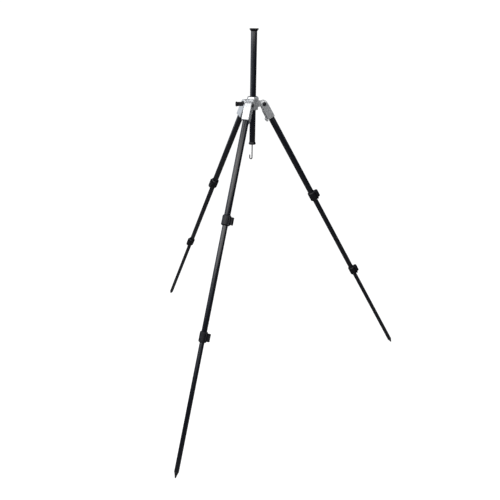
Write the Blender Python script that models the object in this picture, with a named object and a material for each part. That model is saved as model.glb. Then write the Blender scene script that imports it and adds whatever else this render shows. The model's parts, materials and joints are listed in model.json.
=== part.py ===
"""Lightweight three-legged pole stand: a sliding centre column, a cast shoulder and telescoping legs.

Metres, +Z up.  The origin is the centre of the flat face on top of the column, and the stand hangs below it.
Every leg is built in its own frame: the pivot is the origin, the leg runs along -Z, +X points away from the
column and +Y runs counter-clockwise round it.  An empty then leans that frame out and turns it to its place.
"""

import math

import bmesh
import bpy
from mathutils import Matrix, Vector

# ---------------------------------------------------------------- driving dimensions
TUBE_SEGMENTS = 24
SMALL_SEGMENTS = 16
PIN_SEGMENTS = 12
ARC_STEPS = 12
SHORT_ARC_STEPS = 8
KNUCKLE_STEPS = 6
BEND_STEPS = 10
SHARP_ANGLE = math.radians(32.0)
BEVEL_ANGLE = math.radians(40.0)
MERGE_DISTANCE = 0.000001
GAP = 0.0003
RUNNING_GAP = 0.0002

# Centre column, its caps and its hook
COLUMN_RADIUS = 0.0120
COLUMN_WALL = 0.0015
COLUMN_LENGTH = 0.4330
TOP_CAP_FLARE = 0.0050
TOP_CAP_HEIGHT = 0.0100
TOP_CAP_RIM = 0.0040
BOTTOM_CAP_FLARE = 0.0025
BOTTOM_CAP_HEIGHT = 0.0110
BOTTOM_CAP_RIM = 0.0040
SPIGOT_LENGTH = 0.0140
HOOK_WIRE_RADIUS = 0.0023
HOOK_SHANK_LENGTH = 0.0570
HOOK_BEND_RADIUS = 0.0050
HOOK_TIP_LENGTH = 0.0120
HOOK_NUT_RADIUS = 0.0055
HOOK_NUT_HEIGHT = 0.0050

# Cast shoulder
PIVOT_DROP = 0.2720
SHOULDER_SIDES = 6
SHOULDER_WALL = 0.0048
LUG_REACH = 0.0245
LUG_ROOT_DEPTH = 0.0028
SHOULDER_RIM_FLARE = 0.0022
SHOULDER_RIM_HEIGHT = 0.0095
SHOULDER_RIM_LAND = 0.0022
SHOULDER_ROUNDING = 0.0010
SHOULDER_ABOVE = 0.0280
SHOULDER_BELOW = 0.0220
BUSH_WALL = 0.0022
BUSH_LIP = 0.0015
LUG_WIDTH = 0.0164
LUG_BOSS_RADIUS = 0.0085
LUG_ROOT_ABOVE = 0.0150
LUG_ROOT_BELOW = 0.0120
LUG_ARC_START = math.radians(-100.0)
LUG_ARC_END = math.radians(80.0)
STOP_FINGER_LENGTH = 0.0180
STOP_FINGER_HALF_WIDTH = 0.0020
STOP_FINGER_ANGLE = math.radians(262.0)

# Column clamp
SCREW_RADIUS = 0.0030
KNOB_BOSS_WALL = 0.0047
KNOB_BOSS_LENGTH = 0.0070
PAD_THICKNESS = 0.0020
KNOB_STANDOFF = 0.0140
KNOB_WALL = 0.0049
KNOB_HEAD_FLARE = 0.0013
KNOB_EDGE = 0.0015
KNOB_LENGTH = 0.0290
KNOB_HEAD_LENGTH = 0.0070

# Legs
LEAN = math.radians(30.5)
LEG_AZIMUTHS = {"front": math.radians(-90.0), "right": math.radians(30.0), "left": math.radians(150.0)}
KNOB_AZIMUTH = math.radians(-150.0)
LEG_LENGTH = 1.4500
UPPER_RADIUS = 0.0125
TUBE_WALL = 0.0010
TELESCOPE_CLEARANCE = 0.0006
UPPER_END = 0.4610
MIDDLE_END = 0.9150
SECTION_OVERLAP = 0.0600

# Leg castings
SOCKET_WALL = 0.0022
CASTING_BOTTOM = 0.0640
CASTING_BOSS_WALL = 0.0055
CASTING_WEB = 0.0025
CASTING_ARC_START = math.radians(8.0)
CASTING_ROUNDING = 0.0030
CHANNEL_FLOOR = 0.0260
EAR_SLOPE = 0.0040
SOCKET_ROOF_THICKNESS = 0.0040
BOLT_RADIUS = 0.0040
BOLT_HEAD_FLARE = 0.0032
BOLT_HEAD_HEIGHT = 0.0032
BOLT_HEAD_EDGE = 0.0010

# Leg-angle release lever
RELEASE_PIN_X = -0.0130
RELEASE_PIN_Z = -0.0150
RELEASE_PIN_RADIUS = 0.0014
RELEASE_KNUCKLE_RADIUS = 0.0034
RELEASE_STRIP_THICKNESS = 0.0034
RELEASE_STRIP_GAP = 0.0012
RELEASE_TOE_X = -0.0056
RELEASE_TOE_TOP = 0.0012
RELEASE_TOE_HEIGHT = 0.0030
RELEASE_LOBE_Z = -0.0600
RELEASE_LOBE_RADIUS = 0.0085
RELEASE_LOBE_SWELL = 0.0060
RELEASE_SIDE_PLAY = 0.0007
LEVER_ROUNDING = 0.0006

# Section clamps and their flip levers
CLAMP_WALL = 0.0050
CLAMP_LENGTH = 0.0420
CLAMP_CHAMFER = 0.0035
LEVER_THICKNESS = 0.0046
LEVER_LENGTH = 0.0300
LEVER_SWEEP = math.radians(76.0)
LEVER_STARTS = {"front": math.radians(58.0), "right": math.radians(-42.0), "left": math.radians(58.0)}
LEVER_BULGE = 0.0068
LEVER_SWELL_SHARE = 0.80
LEVER_PIN_RADIUS = 0.0012
EAR_HEIGHT = 0.0042

# Sliding bushes and feet
BUSH_HEAD = 0.0040
BUSH_SPIGOT = 0.0100
BUSH_SPIGOT_WALL = 0.0018
FOOT_LENGTH = 0.0260
FOOT_TIP_RADIUS = 0.0022
FOOT_TIP_EDGE = 0.0010
FOOT_COLLAR = 0.0030
FOOT_NECK = 0.0016

# ---------------------------------------------------------------- sizes that follow from the ones above
RELEASE_WIDTH = LUG_WIDTH - 2 * RELEASE_SIDE_PLAY
COLUMN_BORE = COLUMN_RADIUS - COLUMN_WALL
COLUMN_BOTTOM = -COLUMN_LENGTH
TOP_CAP_RADIUS = COLUMN_RADIUS + TOP_CAP_FLARE
BOTTOM_CAP_RADIUS = COLUMN_RADIUS + BOTTOM_CAP_FLARE
BUSH_BORE = COLUMN_RADIUS + RUNNING_GAP
SHOULDER_BORE = BUSH_BORE + BUSH_WALL + GAP
SHOULDER_FLAT = SHOULDER_BORE + SHOULDER_WALL
PIVOT_RADIUS = SHOULDER_FLAT + LUG_REACH
SCREW_HOLE = SCREW_RADIUS + GAP
KNOB_BOSS_RADIUS = SCREW_HOLE + KNOB_BOSS_WALL
KNOB_RADIUS = SCREW_HOLE + KNOB_WALL
MIDDLE_RADIUS = UPPER_RADIUS - TUBE_WALL - TELESCOPE_CLEARANCE
LOWER_RADIUS = MIDDLE_RADIUS - TUBE_WALL - TELESCOPE_CLEARANCE
SOCKET_BORE = UPPER_RADIUS + GAP
CASTING_HALF = SOCKET_BORE + SOCKET_WALL
CASTING_BOSS_RADIUS = LUG_BOSS_RADIUS + CASTING_BOSS_WALL
SOCKET_ROOF = CHANNEL_FLOOR + SOCKET_ROOF_THICKNESS
BOLT_HOLE = BOLT_RADIUS + GAP
BOLT_HEAD_RADIUS = BOLT_RADIUS + BOLT_HEAD_FLARE

# ---------------------------------------------------------------- finishes
FINISHES = {
    "black_enamel": ((0.020, 0.021, 0.027), 0.38, 0.30),
    "black_plastic": ((0.016, 0.017, 0.021), 0.45, 0.0),
    "cast_silver": ((0.62, 0.63, 0.65), 0.36, 0.85),
    "steel": ((0.20, 0.20, 0.22), 0.35, 1.0),
    "dark_steel": ((0.035, 0.035, 0.042), 0.40, 0.9),
    "bush_plastic": ((0.055, 0.057, 0.062), 0.55, 0.0),
    "foot_rubber": ((0.014, 0.014, 0.016), 0.75, 0.0),
}


def make_material(node_name, finish):
    """Give a sub-part its own Principled material in the named finish."""
    colour, roughness, metallic = FINISHES[finish]
    material = bpy.data.materials.new(node_name + "_finish")
    material.use_nodes = True
    shader = material.node_tree.nodes["Principled BSDF"]
    shader.inputs["Base Color"].default_value = (*colour, 1.0)
    shader.inputs["Roughness"].default_value = roughness
    shader.inputs["Metallic"].default_value = metallic
    return material


# ---------------------------------------------------------------- modelling helpers
def object_from(bm, name, finish=None, parent=None):
    """Turn a bmesh into a named object, with a finish unless it is only a cutter."""
    bmesh.ops.recalc_face_normals(bm, faces=bm.faces)
    mesh = bpy.data.meshes.new(name)
    bm.to_mesh(mesh)
    bm.free()
    obj = bpy.data.objects.new(name, mesh)
    bpy.context.scene.collection.objects.link(obj)
    if finish:
        mesh.materials.append(make_material(name, finish))
        mesh.shade_smooth()
        mesh.set_sharp_from_angle(angle=SHARP_ANGLE)
    obj.parent = parent
    return obj


def turned(profile, segments=TUBE_SEGMENTS, closed=False, axis="Z", turn=0.0):
    """Spin (radius, height) points round an axis; a closed profile makes a ring."""
    bm = bmesh.new()
    verts = [bm.verts.new((radius, 0.0, height)) for radius, height in profile]
    pairs = list(zip(verts, verts[1:]))
    if closed:
        pairs.append((verts[-1], verts[0]))
    edges = [bm.edges.new(pair) for pair in pairs]
    bmesh.ops.spin(bm, geom=verts + edges, cent=(0, 0, 0), axis=(0, 0, 1), dvec=(0, 0, 0),
                   angle=math.tau, steps=segments, use_merge=True, use_duplicate=False)
    bmesh.ops.remove_doubles(bm, verts=bm.verts, dist=MERGE_DISTANCE)
    bmesh.ops.rotate(bm, verts=bm.verts, cent=(0, 0, 0), matrix=Matrix.Rotation(turn, 3, "Z"))
    if axis == "Y":
        bmesh.ops.rotate(bm, verts=bm.verts, cent=(0, 0, 0), matrix=Matrix.Rotation(-math.pi / 2, 3, "X"))
    if axis == "X":
        bmesh.ops.rotate(bm, verts=bm.verts, cent=(0, 0, 0), matrix=Matrix.Rotation(math.pi / 2, 3, "Y"))
    return bm


def rod(radius, start, end, segments=SMALL_SEGMENTS, axis="Z"):
    """A solid round bar from start to end along an axis."""
    return turned([(0, start), (radius, start), (radius, end), (0, end)], segments, axis=axis)


def pipe(outer, inner, bottom, top, segments=TUBE_SEGMENTS):
    """An open tube along Z."""
    return turned([(outer, bottom), (outer, top), (inner, top), (inner, bottom)], segments, closed=True)


def slab(outline, low, high, plane="XY"):
    """Extrude a flat outline; plane XZ extrudes it along Y, plane XY along Z."""
    bm = bmesh.new()
    if plane == "XY":
        verts = [bm.verts.new((a, b, low)) for a, b in outline]
        step = (0, 0, high - low)
    else:
        verts = [bm.verts.new((a, low, b)) for a, b in outline]
        step = (0, high - low, 0)
    face = bm.faces.new(verts)
    grown = bmesh.ops.extrude_face_region(bm, geom=[face])["geom"]
    bmesh.ops.translate(bm, vec=step, verts=[g for g in grown if isinstance(g, bmesh.types.BMVert)])
    return bm


def block(low, high):
    """A box between two corners."""
    outline = [(low[0], low[1]), (high[0], low[1]), (high[0], high[1]), (low[0], high[1])]
    return slab(outline, low[2], high[2])


def arc(centre, radius, start, end, steps):
    """Points along an arc, both ends included."""
    angles = [start + (end - start) * i / steps for i in range(steps + 1)]
    return [(centre[0] + radius * math.cos(a), centre[1] + radius * math.sin(a)) for a in angles]


def move(bm, vector):
    """Shift a shape and hand it back."""
    bmesh.ops.translate(bm, vec=vector, verts=bm.verts)
    return bm


def spin_z(bm, angle):
    """Turn a shape about Z and hand it back."""
    bmesh.ops.rotate(bm, verts=bm.verts, cent=(0, 0, 0), matrix=Matrix.Rotation(angle, 3, "Z"))
    return bm


def boolean(target, bm, operation):
    """Join or cut a shape with an exact Boolean; the tool object stays as a hidden wire guide."""
    tool = object_from(bm, target.name + "_tool_" + str(len(target.modifiers)), parent=target.parent)
    tool.location = target.location
    tool.rotation_euler = target.rotation_euler
    tool.hide_render = True
    tool.display_type = "WIRE"
    modifier = target.modifiers.new(operation.lower(), "BOOLEAN")
    modifier.operation = operation
    modifier.solver = "EXACT"
    modifier.object = tool


def round_edges(obj, width, segments=2):
    """Round every sharp edge of an object by a width."""
    modifier = obj.modifiers.new("edge_rounding", "BEVEL")
    modifier.width = width
    modifier.segments = segments
    modifier.limit_method = "ANGLE"
    modifier.angle_limit = BEVEL_ANGLE


def guide(name, location, angles, parent=None):
    """An empty that carries a joint's place or a leg's frame."""
    empty = bpy.data.objects.new(name, None)
    empty.location = location
    empty.rotation_euler = angles
    empty.parent = parent
    bpy.context.scene.collection.objects.link(empty)
    return empty


# ---------------------------------------------------------------- centre column
def make_column():
    """Column tube with a plug cap at each end."""
    spigot = COLUMN_BORE - GAP
    tube_top = -TOP_CAP_HEIGHT - GAP
    tube_bottom = COLUMN_BOTTOM + BOTTOM_CAP_HEIGHT + GAP
    object_from(pipe(COLUMN_RADIUS, COLUMN_BORE, tube_bottom, tube_top), "column_tube", "black_enamel")
    top = [(0, 0), (TOP_CAP_RADIUS, 0), (TOP_CAP_RADIUS, -TOP_CAP_RIM), (COLUMN_RADIUS, -TOP_CAP_HEIGHT),
           (spigot, -TOP_CAP_HEIGHT), (spigot, -TOP_CAP_HEIGHT - SPIGOT_LENGTH),
           (0, -TOP_CAP_HEIGHT - SPIGOT_LENGTH)]
    object_from(turned(top), "top_cap", "black_plastic")
    hole = HOOK_WIRE_RADIUS + GAP
    rim = COLUMN_BOTTOM + BOTTOM_CAP_RIM
    shelf = COLUMN_BOTTOM + BOTTOM_CAP_HEIGHT
    bottom = [(hole, COLUMN_BOTTOM), (BOTTOM_CAP_RADIUS, COLUMN_BOTTOM), (BOTTOM_CAP_RADIUS, rim),
              (COLUMN_RADIUS, shelf), (spigot, shelf), (spigot, shelf + SPIGOT_LENGTH),
              (hole, shelf + SPIGOT_LENGTH)]
    object_from(turned(bottom, closed=True), "bottom_cap", "black_plastic")


def make_hook():
    """A bent wire hook whose shank turns in the bottom cap, with a nut above it."""
    shank_top = BOTTOM_CAP_HEIGHT + SPIGOT_LENGTH + 2 * GAP + HOOK_NUT_HEIGHT + 2 * HOOK_WIRE_RADIUS
    bend = arc((-HOOK_BEND_RADIUS, -HOOK_SHANK_LENGTH), HOOK_BEND_RADIUS, 0.0, -math.pi, BEND_STEPS)
    path = [(0.0, shank_top), (0.0, 0.0)] + bend
    path.append((-2 * HOOK_BEND_RADIUS, -HOOK_SHANK_LENGTH + HOOK_TIP_LENGTH))
    curve = bpy.data.curves.new("hook", "CURVE")
    curve.dimensions = "3D"
    curve.bevel_depth = HOOK_WIRE_RADIUS
    curve.bevel_resolution = 2
    curve.use_fill_caps = True
    spline = curve.splines.new("POLY")
    spline.points.add(len(path) - 1)
    for point, (x, z) in zip(spline.points, path):
        point.co = (x, 0.0, z, 1.0)
    hook = bpy.data.objects.new("hook", curve)
    hook.location = (0, 0, COLUMN_BOTTOM)
    hook.data.materials.append(make_material("hook", "steel"))
    bpy.context.scene.collection.objects.link(hook)
    seat = COLUMN_BOTTOM + BOTTOM_CAP_HEIGHT + SPIGOT_LENGTH + GAP
    hole = HOOK_WIRE_RADIUS + GAP
    nut = turned([(hole, seat), (HOOK_NUT_RADIUS, seat), (HOOK_NUT_RADIUS, seat + HOOK_NUT_HEIGHT),
                  (hole, seat + HOOK_NUT_HEIGHT)], PIN_SEGMENTS, closed=True)
    object_from(nut, "hook_nut", "steel")


# ---------------------------------------------------------------- shoulder
def lug_outline():
    """Side view of one lug: a tapered tongue that ends in a round boss, with the pivot at (0, 0)."""
    root = SHOULDER_FLAT - LUG_ROOT_DEPTH - PIVOT_RADIUS
    return ([(root, -LUG_ROOT_BELOW)]
            + arc((0, 0), LUG_BOSS_RADIUS, LUG_ARC_START, LUG_ARC_END, ARC_STEPS)
            + [(root, LUG_ROOT_ABOVE)])


def make_shoulder():
    """Six-sided cast collar with a lug and a stop finger for each leg, and the bush inside it."""
    centre = (0, 0, -PIVOT_DROP)
    across_flats = math.cos(math.pi / SHOULDER_SIDES)
    corner = SHOULDER_FLAT / across_flats
    rim = (SHOULDER_FLAT + SHOULDER_RIM_FLARE) / across_flats
    rim_low = SHOULDER_ABOVE - SHOULDER_RIM_HEIGHT
    body = [(0, -SHOULDER_BELOW), (corner, -SHOULDER_BELOW), (corner, rim_low - SHOULDER_RIM_FLARE),
            (rim, rim_low), (rim, rim_low + SHOULDER_RIM_LAND),
            (corner - GAP, SHOULDER_ABOVE), (0, SHOULDER_ABOVE)]
    shoulder = object_from(turned(body, SHOULDER_SIDES), "shoulder_casting", "cast_silver")
    shoulder.location = centre
    round_edges(shoulder, SHOULDER_ROUNDING, 1)
    for azimuth in LEG_AZIMUTHS.values():
        lug = move(slab(lug_outline(), -LUG_WIDTH / 2, LUG_WIDTH / 2, "XZ"), (PIVOT_RADIUS, 0, 0))
        boolean(shoulder, spin_z(lug, azimuth), "UNION")
        finger = block((LUG_BOSS_RADIUS / 2, -LUG_WIDTH / 2 + GAP, -STOP_FINGER_HALF_WIDTH),
                       (STOP_FINGER_LENGTH, LUG_WIDTH / 2 - GAP, STOP_FINGER_HALF_WIDTH))
        tilt = Matrix.Rotation(-(STOP_FINGER_ANGLE + LEAN), 3, "Y")
        bmesh.ops.rotate(finger, verts=finger.verts, cent=(0, 0, 0), matrix=tilt)
        boolean(shoulder, spin_z(move(finger, (PIVOT_RADIUS, 0, 0)), azimuth), "UNION")
        hole = rod(BOLT_HOLE, -LUG_WIDTH, LUG_WIDTH, axis="Y")
        boolean(shoulder, spin_z(move(hole, (PIVOT_RADIUS, 0, 0)), azimuth), "DIFFERENCE")
    boss_end = SHOULDER_FLAT + KNOB_BOSS_LENGTH
    boss = rod(KNOB_BOSS_RADIUS, SHOULDER_BORE + GAP, boss_end, TUBE_SEGMENTS, "X")
    boolean(shoulder, spin_z(boss, KNOB_AZIMUTH), "UNION")
    bore = rod(SHOULDER_BORE, -2 * SHOULDER_BELOW, 2 * SHOULDER_ABOVE, TUBE_SEGMENTS)
    boolean(shoulder, bore, "DIFFERENCE")
    thread = rod(SCREW_HOLE, COLUMN_RADIUS, 2 * boss_end, axis="X")
    boolean(shoulder, spin_z(thread, KNOB_AZIMUTH), "DIFFERENCE")
    outer = BUSH_BORE + BUSH_WALL
    lip = -SHOULDER_BELOW - GAP
    bush = [(BUSH_BORE, lip - BUSH_LIP), (outer + BUSH_LIP, lip - BUSH_LIP), (outer + BUSH_LIP, lip),
            (outer, lip), (outer, SHOULDER_ABOVE), (BUSH_BORE, SHOULDER_ABOVE)]
    bush_object = object_from(turned(bush, closed=True), "collar_bush", "bush_plastic")
    bush_object.location = centre


def make_column_clamp():
    """Thumbscrew square to the column, on its own axis empty; the pad bears on the bush."""
    axis = guide("knob_axis", (0, 0, -PIVOT_DROP), (0, 0, KNOB_AZIMUTH))
    pad_start = SHOULDER_BORE + GAP
    pad_end = pad_start + PAD_THICKNESS
    object_from(rod(SCREW_RADIUS, pad_start, pad_end, axis="X"), "clamp_pad", "bush_plastic", axis)
    knob_start = SHOULDER_FLAT + KNOB_BOSS_LENGTH + KNOB_STANDOFF
    knob_end = knob_start + KNOB_LENGTH
    bury = knob_start + KNOB_LENGTH / 2
    screw = rod(SCREW_RADIUS, pad_end + GAP, bury, axis="X")
    object_from(screw, "clamp_screw", "steel", axis)
    head = knob_end - KNOB_HEAD_LENGTH
    rim = KNOB_RADIUS + KNOB_HEAD_FLARE
    profile = [(SCREW_HOLE, knob_start), (KNOB_RADIUS, knob_start), (KNOB_RADIUS, head),
               (rim, head + KNOB_EDGE), (rim, knob_end - KNOB_EDGE),
               (KNOB_RADIUS, knob_end), (0, knob_end), (0, bury + GAP), (SCREW_HOLE, bury + GAP)]
    bm = turned(profile + profile[:1], TUBE_SEGMENTS, axis="X")
    object_from(bm, "clamp_knob", "black_plastic", axis)


# ---------------------------------------------------------------- legs
def casting_outline():
    """Side view of a leg casting: cheeks round the pivot, an ear for the lever pin, a socket below."""
    ear_x = RELEASE_PIN_X - RELEASE_KNUCKLE_RADIUS - GAP
    ear_top = RELEASE_PIN_Z + RELEASE_KNUCKLE_RADIUS
    return ([(-CASTING_HALF, -CASTING_BOTTOM), (CASTING_HALF, -CASTING_BOTTOM),
             (CASTING_HALF, -CASTING_BOSS_RADIUS)]
            + arc((0, 0), CASTING_BOSS_RADIUS, CASTING_ARC_START, CASTING_ARC_START + math.pi, ARC_STEPS)
            + [(ear_x, ear_top), (ear_x, -CHANNEL_FLOOR + EAR_SLOPE), (-CASTING_HALF, -CHANNEL_FLOOR)])


def make_leg_casting(name, frame):
    """Forked casting over a lug, with the tube socket below, and the bolt through both."""
    casting = object_from(slab(casting_outline(), -CASTING_HALF, CASTING_HALF, "XZ"),
                          name + "_leg_casting", "cast_silver", frame)
    round_edges(casting, CASTING_ROUNDING)
    channel = LUG_WIDTH / 2 + 2 * GAP
    web = CASTING_BOSS_RADIUS - CASTING_WEB
    far = 2 * CASTING_BOTTOM
    boolean(casting, block((-far, -channel, -CHANNEL_FLOOR), (web, channel, far)), "DIFFERENCE")
    bore = rod(SOCKET_BORE, -far, -SOCKET_ROOF, TUBE_SEGMENTS)
    boolean(casting, bore, "DIFFERENCE")
    hole = rod(BOLT_HOLE, -far, far, axis="Y")
    boolean(casting, hole, "DIFFERENCE")
    pin_hole = rod(RELEASE_PIN_RADIUS + GAP, -far, far, PIN_SEGMENTS, "Y")
    boolean(casting, move(pin_hole, (RELEASE_PIN_X, 0, RELEASE_PIN_Z)), "DIFFERENCE")
    seat = CASTING_HALF + GAP
    end = seat + BOLT_HEAD_HEIGHT
    edge = BOLT_HEAD_EDGE
    bolt = [(0, -end), (BOLT_HEAD_RADIUS - edge, -end), (BOLT_HEAD_RADIUS, -end + edge),
            (BOLT_HEAD_RADIUS, -seat), (BOLT_RADIUS, -seat), (BOLT_RADIUS, seat),
            (BOLT_HEAD_RADIUS, seat), (BOLT_HEAD_RADIUS, end - edge),
            (BOLT_HEAD_RADIUS - edge, end), (0, end)]
    object_from(turned(bolt, SMALL_SEGMENTS, axis="Y"), name + "_pivot_bolt", "dark_steel", frame)


def release_outline():
    """Side view of the release lever about its pin: knuckle, toe, strip and round thumb lobe."""
    outer = -CASTING_HALF - RELEASE_STRIP_GAP - RELEASE_PIN_X
    back = outer - RELEASE_STRIP_THICKNESS
    lobe = RELEASE_LOBE_Z - RELEASE_PIN_Z
    floor = -CHANNEL_FLOOR - RELEASE_PIN_Z
    toe = RELEASE_TOE_X - RELEASE_PIN_X
    toe_low = -RELEASE_TOE_TOP - RELEASE_TOE_HEIGHT
    swell = RELEASE_LOBE_SWELL / RELEASE_LOBE_RADIUS
    top = arc((0, 0), RELEASE_KNUCKLE_RADIUS, math.pi, 0.0, SHORT_ARC_STEPS)
    bulge = arc((0, lobe), RELEASE_LOBE_RADIUS, 3 * math.pi / 2, math.pi / 2, SHORT_ARC_STEPS)
    bulge = [(back + x * swell, z) for x, z in bulge]
    return (top + [(toe, -RELEASE_TOE_TOP), (toe, toe_low), (0.0, toe_low - RELEASE_PIN_RADIUS),
                   (outer, floor - RELEASE_PIN_RADIUS), (outer, lobe - RELEASE_LOBE_RADIUS)]
            + bulge + [(back, floor)])


def make_release_lever(name, frame):
    """Spring lever along the inner face of the casting; its toe meets the stop finger."""
    axis = guide(name + "_release_axis", (RELEASE_PIN_X, 0, RELEASE_PIN_Z), (0, 0, 0), frame)
    lever = object_from(slab(release_outline(), -RELEASE_WIDTH / 2, RELEASE_WIDTH / 2, "XZ"),
                        name + "_release_lever", "cast_silver", axis)
    round_edges(lever, LEVER_ROUNDING, 1)
    hole = rod(RELEASE_PIN_RADIUS + GAP, -RELEASE_WIDTH, RELEASE_WIDTH, PIN_SEGMENTS, "Y")
    boolean(lever, hole, "DIFFERENCE")
    half = CASTING_HALF - GAP
    pin = rod(RELEASE_PIN_RADIUS, -half, half, PIN_SEGMENTS, "Y")
    object_from(pin, name + "_release_pin", "steel", axis)


def make_section_clamp(name, frame, end, outer_radius, inner_radius, start):
    """Collar on the end of a tube, bored for that tube above and the next one below, with pin ears.

    The lever starts at its pin, at the angle given, and wraps counter-clockwise round the collar.
    """
    wall = outer_radius + CLAMP_WALL
    half = CLAMP_LENGTH / 2
    seat = -GAP
    profile = [(outer_radius + GAP, half), (wall - CLAMP_CHAMFER, half), (wall, half - CLAMP_CHAMFER),
               (wall, -half + CLAMP_CHAMFER), (wall - CLAMP_CHAMFER, -half), (inner_radius + GAP, -half),
               (inner_radius + GAP, seat), (outer_radius + GAP, seat)]
    clamp = object_from(turned(profile, closed=True), name + "_clamp", "black_plastic", frame)
    clamp.location = (0, 0, -end)
    pin_radius_place = wall + 2 * GAP + LEVER_THICKNESS / 2
    pin = (pin_radius_place * math.cos(start), pin_radius_place * math.sin(start))
    ear_radius = LEVER_THICKNESS / 2 + GAP
    lever_half = LEVER_LENGTH / 2
    for low in (lever_half + GAP, -lever_half - GAP - EAR_HEIGHT):
        inward = Vector((pin[0], pin[1])).normalized() * (CLAMP_WALL / 2 + LEVER_THICKNESS)
        side = Vector((-pin[1], pin[0])).normalized() * ear_radius
        outline = [(pin[0] - inward.x - side.x, pin[1] - inward.y - side.y)]
        outline += arc(pin, ear_radius, start - math.pi / 2, start + math.pi / 2, KNUCKLE_STEPS)
        outline += [(pin[0] - inward.x + side.x, pin[1] - inward.y + side.y)]
        boolean(clamp, slab(outline, low, low + EAR_HEIGHT), "UNION")
    pin_half = lever_half + 2 * GAP + EAR_HEIGHT
    bore = rod(LEVER_PIN_RADIUS + GAP, -half - GAP, half + GAP, PIN_SEGMENTS)
    move(bore, (pin[0], pin[1], 0))
    boolean(clamp, bore, "DIFFERENCE")
    axis = guide(name + "_lever_axis", (pin[0], pin[1], -end), (0, 0, 0), frame)
    inner = wall + 2 * GAP
    outer = inner + LEVER_THICKNESS
    lever_inner = arc((0, 0), inner, start, start + LEVER_SWEEP, SHORT_ARC_STEPS)
    lever_outer = []
    for i in range(BEND_STEPS + 1):
        share = i / BEND_STEPS
        angle = start + LEVER_SWEEP * (1 - share)
        swell = math.sqrt(max(0.0, math.sin(math.pi * min(1.0, share / LEVER_SWELL_SHARE))))
        lever_outer.append(((outer + LEVER_BULGE * swell) * math.cos(angle),
                            (outer + LEVER_BULGE * swell) * math.sin(angle)))
    knuckle = arc(pin, LEVER_THICKNESS / 2, start, start - math.pi, KNUCKLE_STEPS)
    outline = [(x - pin[0], y - pin[1]) for x, y in lever_inner + lever_outer[:-1] + knuckle[:-1]]
    lever = object_from(slab(outline, -lever_half, lever_half), name + "_lever", "black_plastic", axis)
    round_edges(lever, LEVER_ROUNDING, 1)
    boolean(lever, rod(LEVER_PIN_RADIUS + GAP, -LEVER_LENGTH, LEVER_LENGTH, PIN_SEGMENTS), "DIFFERENCE")
    pin_bar = rod(LEVER_PIN_RADIUS, -pin_half, pin_half, PIN_SEGMENTS)
    object_from(pin_bar, name + "_lever_pin", "steel", axis)


def make_bush(name, frame, top, outer, bore):
    """Guide bush on the top end of a sliding tube: a head in the tube above, a spigot in its own."""
    spigot = bore - GAP
    hole = spigot - BUSH_SPIGOT_WALL
    profile = [(outer, top), (outer, top - BUSH_HEAD), (spigot, top - BUSH_HEAD),
               (spigot, top - BUSH_HEAD - BUSH_SPIGOT), (hole, top - BUSH_HEAD - BUSH_SPIGOT), (hole, top)]
    object_from(turned(profile, closed=True), name + "_bush", "bush_plastic", frame)


def make_leg(name, azimuth):
    """One leg: casting, release lever, three tubes, two section clamps, two bushes and a foot."""
    place = (PIVOT_RADIUS * math.cos(azimuth), PIVOT_RADIUS * math.sin(azimuth), -PIVOT_DROP)
    turn = guide(name + "_leg_turn", place, (0, 0, azimuth))
    frame = guide(name + "_leg_frame", (0, 0, 0), (0, -LEAN, 0), turn)
    make_leg_casting(name, frame)
    make_release_lever(name, frame)
    upper_bore = UPPER_RADIUS - TUBE_WALL
    middle_bore = MIDDLE_RADIUS - TUBE_WALL
    lower_bore = LOWER_RADIUS - TUBE_WALL
    object_from(pipe(UPPER_RADIUS, upper_bore, -UPPER_END + GAP, -SOCKET_ROOF - GAP),
                name + "_upper_tube", "black_enamel", frame)
    start = LEVER_STARTS[name]
    make_section_clamp(name + "_upper", frame, UPPER_END, UPPER_RADIUS, MIDDLE_RADIUS, start)
    middle_top = -UPPER_END + SECTION_OVERLAP
    make_bush(name + "_middle", frame, middle_top + BUSH_HEAD, upper_bore - GAP, middle_bore)
    object_from(pipe(MIDDLE_RADIUS, middle_bore, -MIDDLE_END + GAP, middle_top - GAP),
                name + "_middle_tube", "black_enamel", frame)
    make_section_clamp(name + "_lower", frame, MIDDLE_END, MIDDLE_RADIUS, LOWER_RADIUS, start)
    lower_top = -MIDDLE_END + SECTION_OVERLAP
    make_bush(name + "_lower", frame, lower_top + BUSH_HEAD, middle_bore - RUNNING_GAP, lower_bore)
    lower_end = -LEG_LENGTH + FOOT_LENGTH
    object_from(pipe(LOWER_RADIUS, lower_bore, lower_end + GAP, lower_top - GAP),
                name + "_lower_tube", "black_enamel", frame)
    spigot = lower_bore - GAP
    foot = [(0, -LEG_LENGTH), (FOOT_TIP_RADIUS - FOOT_TIP_EDGE, -LEG_LENGTH),
            (FOOT_TIP_RADIUS, -LEG_LENGTH + FOOT_TIP_EDGE),
            (LOWER_RADIUS - FOOT_NECK, lower_end - 2 * FOOT_COLLAR), (LOWER_RADIUS, lower_end - FOOT_COLLAR),
            (LOWER_RADIUS, lower_end), (spigot, lower_end), (spigot, lower_end + SPIGOT_LENGTH),
            (0, lower_end + SPIGOT_LENGTH)]
    object_from(turned(foot), name + "_foot", "foot_rubber", frame)


def clear_scene():
    """Remove whatever the file opened with."""
    for obj in list(bpy.data.objects):
        bpy.data.objects.remove(obj, do_unlink=True)


clear_scene()
make_column()
make_hook()
make_shoulder()
make_column_clamp()
for leg_name, leg_azimuth in LEG_AZIMUTHS.items():
    make_leg(leg_name, leg_azimuth)
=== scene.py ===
# %% [markdown]
# # A light three-legged pole stand
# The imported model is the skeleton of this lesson: it says where every tube, clamp and hinge is. The cells
# below dress that skeleton. Nothing is measured twice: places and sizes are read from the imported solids.

# %% Load the frame
import json
import math

import bmesh
import bpy
from mathutils import Matrix, Vector


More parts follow.
